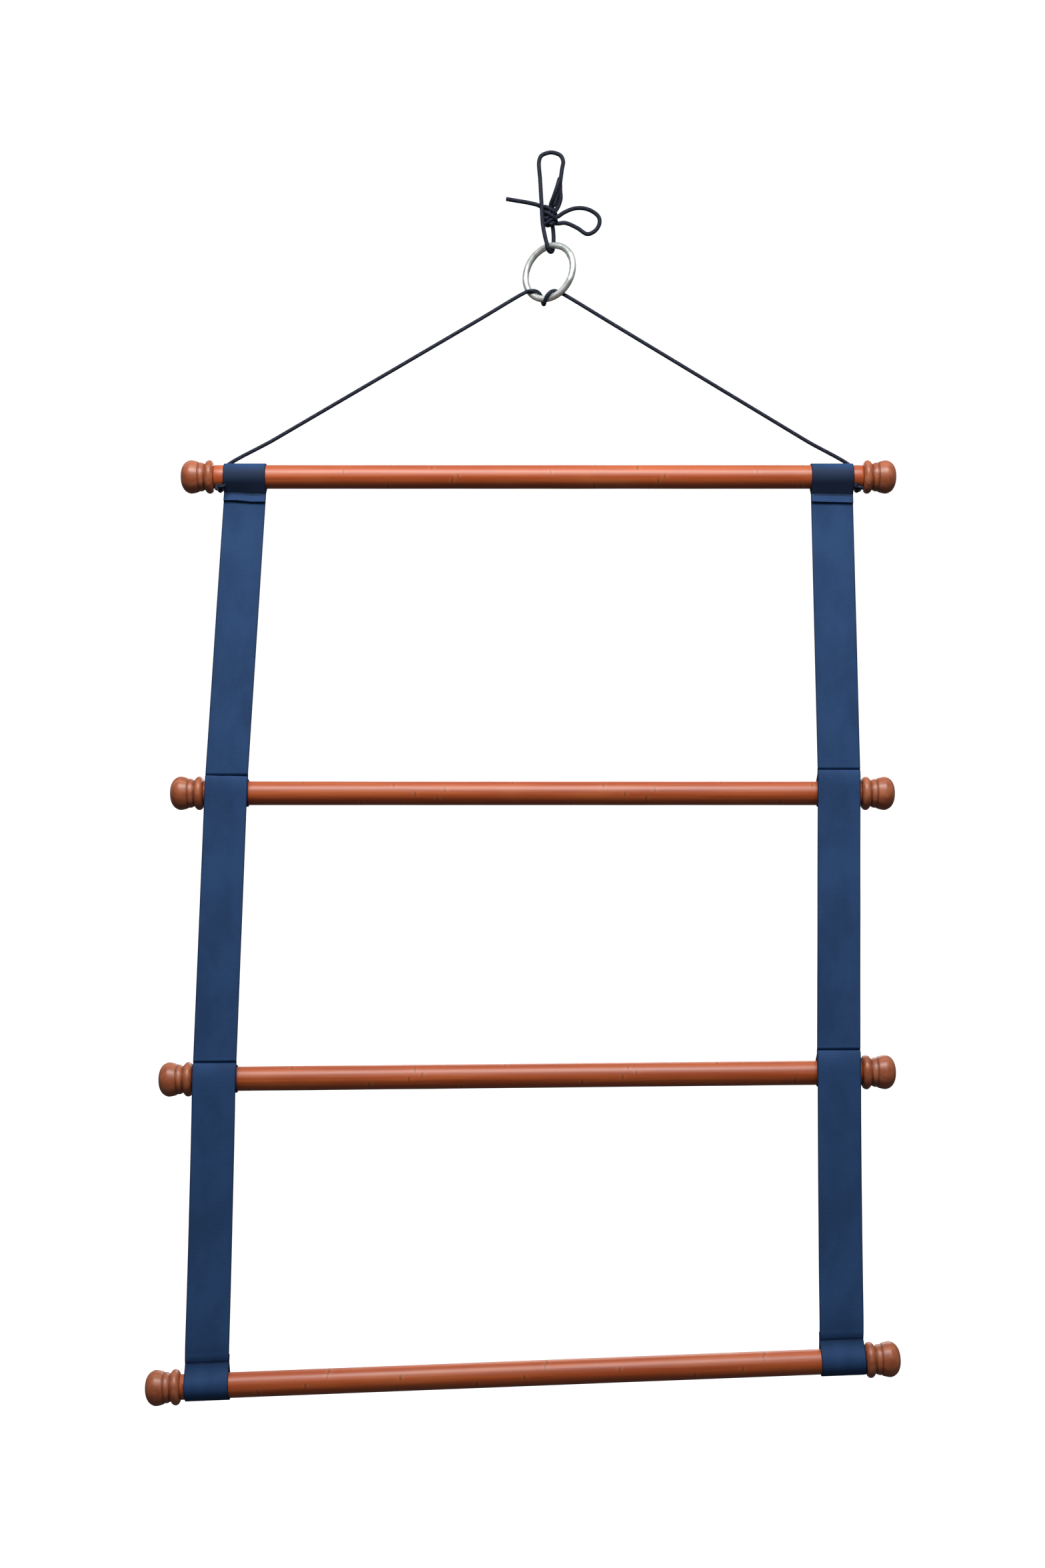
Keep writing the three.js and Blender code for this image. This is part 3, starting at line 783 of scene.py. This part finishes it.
class Strap:
    """One length of webbing from the loop at a bar to the loop at the next bar down, as a path
    of (y, z), with its middle's x and its slope found from z."""

    def __init__(self, side, bar):
        self.side, self.bar = side, bar
        joints = [JOINTS[f"roll_{number}"] for number in (bar, bar + 1)]
        self.slopes = [math.atan2(joint["axis"][2], joint["axis"][0]) for joint in joints]
        self.xs = [STRAP_X[side][bar - 1] * MM, STRAP_X[side][bar] * MM]
        self.bars = [
            np.array((joint["pos_m"][1], joint["pos_m"][2] + (x - joint["pos_m"][0]) * math.tan(slope)))
            for joint, x, slope in zip(joints, self.xs, self.slopes)
        ]
        rises = SEAM_RISE[side][bar - 1 : bar + 1]
        self.seams = [middle[1] + rise * MM for middle, rise in zip(self.bars, rises)]
        self.drops = [drop * MM for drop in EDGE_DROP[side][bar - 1 : bar + 1]]
        top, foot = self.top_path(), self.foot_path()
        self.path = np.vstack([top, self.panel(top[-1], foot[0]), foot])
        self.along = lengths(self.path)
        self.foot_seam = self.along[len(self.path) - len(foot)]

    def panel(self, top, foot):
        """The flat stretch: it stands out a little below a fold, and leans back into the foot."""
        points = between(top, foot, 1.6 * MM)
        if self.bar > 1:
            points[:, 0] -= hump(top[1] - points[:, 1], *BULGE[self.bar])
        if self.bar == 3:
            above = points[:, 1] - foot[1]
            over_flap = 1 / (1 + np.exp((above - FLAP[self.side] * MM) / (0.7 * MM)))
            points[:, 0] -= hump(above, *FOOT_BULGE) + over_flap * hump(above, RIDGE, 9 * MM)
        return points

    def top_path(self):
        """The hem round the top bar, or the fold over the loop of the strap above."""
        seam = self.seams[0]
        if self.bar == 1:
            # flap, up to the neck, over the bar from the front and down its back
            neck = np.array((-LAYER, seam))
            front = tangent_angles(neck, self.bars[0])[0]
            back = tangent_angles((0, seam), self.bars[0])[1]
            flap = self.flap(neck, -1)
            round_bar = arc(self.bars[0], LOOP_R, front % 360, back)
            return np.vstack([flap, between(neck, round_bar[0], 2 * MM), round_bar, [(0, seam)]])
        # up behind, over the fold and down in front
        fold = (LAYER / 2 - FOLD_OUT, seam - FOLD_UP)
        back = (LAYER - FOLD_OUT, seam - FOLD_UP - 1 * MM)
        return np.vstack([[back], arc(fold, LAYER / 2, 0, 180)])

    def foot_path(self):
        """The hem round the last bar, or the loop round a middle bar behind the next fold."""
        seam, centre = self.seams[1], self.bars[1]
        if self.bar == 3:
            # down in front of the bar, under it, up its back to the neck, and the flap
            front = tangent_angles((0, seam), centre)[1]
            back = tangent_angles((LAYER, seam), centre)[0]
            round_bar = arc(centre, LOOP_R, front, back + 360)
            neck = np.array((LAYER, seam))
            rising = between(round_bar[-1], neck, 2 * MM)
            return np.vstack([[(0, seam)], round_bar, rising, self.flap(neck, 1)[::-1]])
        # back behind the next fold, round the back of the bar and up its front to the seam
        swing = spline([(y * MM, seam + rise * MM) for y, rise in TUCK], 6)
        over = tangent_angles(swing[-1], centre)[0]
        round_bar = arc(centre, LOOP_R, over, -180)
        end = [(centre[0] - LOOP_R, seam - FOLD_UP - 1.6 * MM)]
        return np.vstack([swing, between(swing[-1], round_bar[0], 2 * MM), round_bar, end])

    def flap(self, neck, away):
        """From the free end, which stands a little off the strap, to the neck. away is 1 for a
        flap above the neck and behind the strap, and -1 for one below it and in front."""
        share = np.linspace(1, 0, 12)
        out = away * FLARE * share**2
        return np.stack([neck[0] + out, neck[1] + away * FLAP[self.side] * MM * share], -1)

    def share(self, z):
        """0 at the top seam and above it, 1 at the lower seam and below it."""
        return np.clip((self.seams[0] - z) / (self.seams[0] - self.seams[1]), 0, 1)

    def frame(self, station, across):
        """The mid-surface point and the way out of its face, at a station of the path."""
        y, z = self.path[station]
        before, after = self.path[max(station - 1, 0)], self.path[min(station + 1, len(self.path) - 1)]
        direction = (after - before) / np.linalg.norm(after - before)
        share = self.share(z)
        slope = self.slopes[0] * (1 - share) + self.slopes[1] * share
        x_top = self.xs[0] - math.sin(self.slopes[0]) * (max(z, self.seams[0]) - self.bars[0][1])
        x_foot = self.xs[1] - math.sin(self.slopes[1]) * (min(z, self.seams[1]) - self.bars[1][1])
        x = x_top * (1 - share) + x_foot * share
        x += SIDES[self.side] * SKEW * share * max(0, y / SKEW_DEPTH)
        waver = WAVER * noise.noise(Vector((across * 60, self.bar, SIDES[self.side])))
        z -= (across / WEB_WIDTH + waver) * self.drop(station)
        ripple = self.ripple(min(z, self.seams[0]), across) * math.sin(math.pi * share) ** 0.5
        point = np.array((x + across * math.cos(slope), y, z + across * math.sin(slope)))
        out = np.array((0, direction[1], -direction[0]))
        return point + out * ripple, out

    def drop(self, station):
        """The slant of the edge of a flap or fold, which dies out along the strap."""
        ends = (self.along[station], self.along[-1] - self.along[station])
        if self.bar == 1:
            top = self.drops[0] * np.interp(ends[0] / MM, (0, FLAP[self.side], NECK_END), (1, 0.75, 0))
        else:
            top = self.drops[0] * math.exp(-((ends[0] / SLANT_LENGTH) ** 2))
        foot = 0.0
        if self.bar == 3:
            foot = self.drops[1] * max(0, 1 - ends[1] / (FLAP[self.side] * MM))
        return top + foot

    def ripple(self, z, across):
        """How far the cloth stands off its plain path."""
        cup = CUP * ((2 * across / WEB_WIDTH) ** 2 - 0.4)
        wave = noise.noise(Vector((across * 22, z * 11, self.bar + 5 * SIDES[self.side])))
        return cup * noise.noise(Vector((z * 6, self.bar, 3))) + wave * WAVE

    def surface(self, distance, across, height):
        """A point at a height over the face, and the ways out of it and along it."""
        station = int(np.argmin(np.abs(self.along - distance)))
        station = min(max(station, 1), len(self.along) - 2)
        point, out = self.frame(station, across)
        ahead, _ = self.frame(station + 1, across)
        along = (ahead - point) / np.linalg.norm(ahead - point)
        point = point + along * (distance - self.along[station])
        return point + out * height, out, along


def section_outline():
    """The webbing's cross-section as (across, height), with rounded selvedges."""
    half, thick = WEB_WIDTH / 2, WEB_T / 2
    flat_end, round_end = half - 0.9 * MM, half - 0.25 * MM
    flat = np.linspace(-flat_end, flat_end, 21)
    top = [(x, thick) for x in flat]
    edge = [(round_end, 0.8 * thick), (half, 0.0), (round_end, -0.8 * thick)]
    bottom = [(x, -thick) for x in flat[::-1]]
    return top + edge + bottom + [(-x, -height) for x, height in edge]


def hem_painted_shade(strap):
    """How much painted shade the cloth takes at each station: 1 on the lower front of the top bar's hem,
    down to its stitches.
    """
    if strap.bar > 1:
        return np.zeros(len(strap.path))
    height = (strap.path[:, 1] - strap.bars[0][1]) / MM
    past_stitches = np.clip(strap.along / MM - FLAP[strap.side] + 0.5, 0, 1)
    in_front = strap.path[:, 0] < -LAYER / 2
    return np.interp(height, (2, 11), (1, 0)) * past_stitches * in_front


def strap_mesh(strap, name):
    """The webbing swept along the strap's path; each of the three takes its own part of the
    cloth's pattern."""
    outline = section_outline()
    rings = np.empty((len(strap.path), len(outline), 3))
    for station in range(len(strap.path)):
        for k, (across, height) in enumerate(outline):
            point, out = strap.frame(station, across)
            rings[station, k] = point + out * height
    obj = swept(name, rings, WEBBING)
    across = np.tile([a for a, _ in outline], len(strap.path))
    along = np.repeat(strap.along + strap.bar * PATTERN_STEP, len(outline))
    uv = obj.data.uv_layers.new(name="cloth")
    corners = np.empty(len(obj.data.loops), np.int32)
    obj.data.loops.foreach_get("vertex_index", corners)
    uv.data.foreach_set("uv", np.stack([across[corners], along[corners]], -1).ravel())
    # the painted shade of the top hem, kept as the hem value
    float_attribute(obj, "hem", np.repeat(hem_painted_shade(strap), len(outline)))
    return obj


STITCH = 2.7 * MM
STITCH_GAP = 0.7 * MM
STITCH_MARGIN = 2.5 * MM  # at each selvedge
SEAM_OFFSET = 1.2 * MM  # from a row of stitches to the seam line beside it
THREAD_R = 0.36 * MM
THREAD_SIDES = 8


def stitch_row(strap, name, distance, face):
    """A row of machine stitches across the strap, at a distance along it, on one face."""
    pitch = STITCH + STITCH_GAP
    count = int((WEB_WIDTH - 2 * STITCH_MARGIN) / pitch)
    angles = np.linspace(0, 2 * math.pi, THREAD_SIDES, endpoint=False)[:, None]
    bend = np.linspace(-1, 1, 7)
    points, faces = [], []
    for index in range(count):
        middle = (index - (count - 1) / 2) * pitch
        stray = noise.noise(Vector((index * 3.1, strap.bar, distance * 90))) * 0.25 * MM
        rings = []
        for b in bend:
            across = middle + b * STITCH / 2
            lift = face * (WEB_T / 2 + THREAD_R * (0.55 - 1.1 * b**4))
            point, out, along = strap.surface(distance + stray + 0.12 * MM * b, across, lift)
            width = THREAD_R * (1 - 0.45 * b**6)
            rings.append(point + (along * np.cos(angles) + out * np.sin(angles)) * width)
        start = len(points)
        points.extend(np.array(rings).reshape(-1, 3))
        faces.extend((tube_faces(len(rings), THREAD_SIDES) + start).tolist())
        faces.append(list(range(start, start + THREAD_SIDES))[::-1])
        faces.append(list(range(len(points) - THREAD_SIDES, len(points))))
    return make_object(name, points, faces, THREAD)


def hold(strap, piece):
    """Ties a piece of the top strap to the straps_1 body; any other piece gets its place baked into its
    mesh.
    """
    if strap.bar == 1:
        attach(piece, "straps_1")
        return
    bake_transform(piece)


def stitched(strap):
    """The strap's rows of stitches: where along it, and on which face (1 is the outer one)."""
    flap = FLAP[strap.side] * MM
    last = strap.along[-1]
    if strap.bar == 1:
        yield "hem_front", flap - SEAM_OFFSET, -1
    if strap.bar == 3:
        yield "foot_front", strap.foot_seam + SEAM_OFFSET, 1
        yield "foot_back", last - flap + SEAM_OFFSET, 1


def make_strap(side, bar):
    """One length of webbing with its stitches, held by the bar above it."""
    strap = Strap(side, bar)
    label = f"{side}_{bar}"
    web = strap_mesh(strap, f"webbing_{label}")
    hold(strap, web)
    nodes = [f"strap_{label}", f"loop_{side}_{bar + 1}"]
    if bar == 1:
        nodes.append(f"loop_{side}_1")
    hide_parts(*nodes)
    for kind, distance, face in stitched(strap):
        row = stitch_row(strap, f"stitches_{kind}_{label}", distance, face)
        hold(strap, row)


for strap_side in SIDES:
    for bar_above in (1, 2, 3):
        make_strap(strap_side, bar_above)

# ---- studio ----
SURROUND_R = 9.0
RACK_MIDDLE = (0, 0, -0.9)
WORLD_RAMP = {1: -0.1, 2: 1.0, 3: 0.07, 4: 0.44}  # from -0.1 to 1 upwards, 0.07 to 0.44 strong
# name, place, size, power and tint; all face the rack
LIGHTS = [
    ("key_light", (-0.1, -1.4, 0.72), (1.8, 0.7), 48, (1, 0.985, 0.97)),
    ("fill_light", (0.5, -3.3, 0.7), (1.8, 1.2), 14, (0.97, 0.985, 1)),
    ("back_light", (0.4, 2.6, 0.5), (1.8, 1.2), 20, (1, 0.99, 0.98)),
]


def make_surround():
    """A white dome all round, seen only by the camera: the lights below do the lighting."""
    n = Nodes("studio_white")
    mottle = n.noise(n.place(), 3, 2)
    white = n.finish(
        Base_Color=n.mix(mottle, rgb(246, 246, 246), rgb(252, 252, 252)),
        Roughness=0.9,
        Emission_Color=(1, 1, 1, 1),
        Emission_Strength=1.0,
    )
    steps = np.linspace(0, math.pi, 25)
    profile = [(-SURROUND_R * math.cos(a), SURROUND_R * math.sin(a)) for a in steps]
    surround = turned("studio_surround", profile, white, 48)
    surround.location = RACK_MIDDLE
    surround.visible_diffuse = False
    surround.visible_glossy = False
    surround.visible_shadow = False


def area_light(name, place, size, power, tint):
    data = bpy.data.lights.new(name, "AREA")
    data.shape = "RECTANGLE"
    data.size, data.size_y = size
    data.energy = power
    data.color = tint
    light = bpy.data.objects.new(name, data)
    light.location = place
    direction = Vector(RACK_MIDDLE) - Vector(place)
    light.rotation_euler = direction.to_track_quat("-Z", "Y").to_euler()
    bpy.context.scene.collection.objects.link(light)


def make_world():
    """Light from all round, dimmer from below."""
    world = bpy.data.worlds.new("studio_world")
    world.use_nodes = True
    tree = world.node_tree
    coordinate = tree.nodes.new("ShaderNodeTexCoord")
    split = tree.nodes.new("ShaderNodeSeparateXYZ")
    tree.links.new(coordinate.outputs["Generated"], split.inputs[0])
    ramp = tree.nodes.new("ShaderNodeMapRange")
    for key, value in WORLD_RAMP.items():
        ramp.inputs[key].default_value = value
    tree.links.new(split.outputs["Z"], ramp.inputs[0])
    background = tree.nodes["Background"]
    tree.links.new(ramp.outputs[0], background.inputs["Strength"])
    background.inputs["Color"].default_value = (1, 1, 1, 1)
    bpy.context.scene.world = world


make_surround()
make_world()
for light_values in LIGHTS:
    area_light(*light_values)
bpy.context.scene.view_settings.view_transform = "Standard"
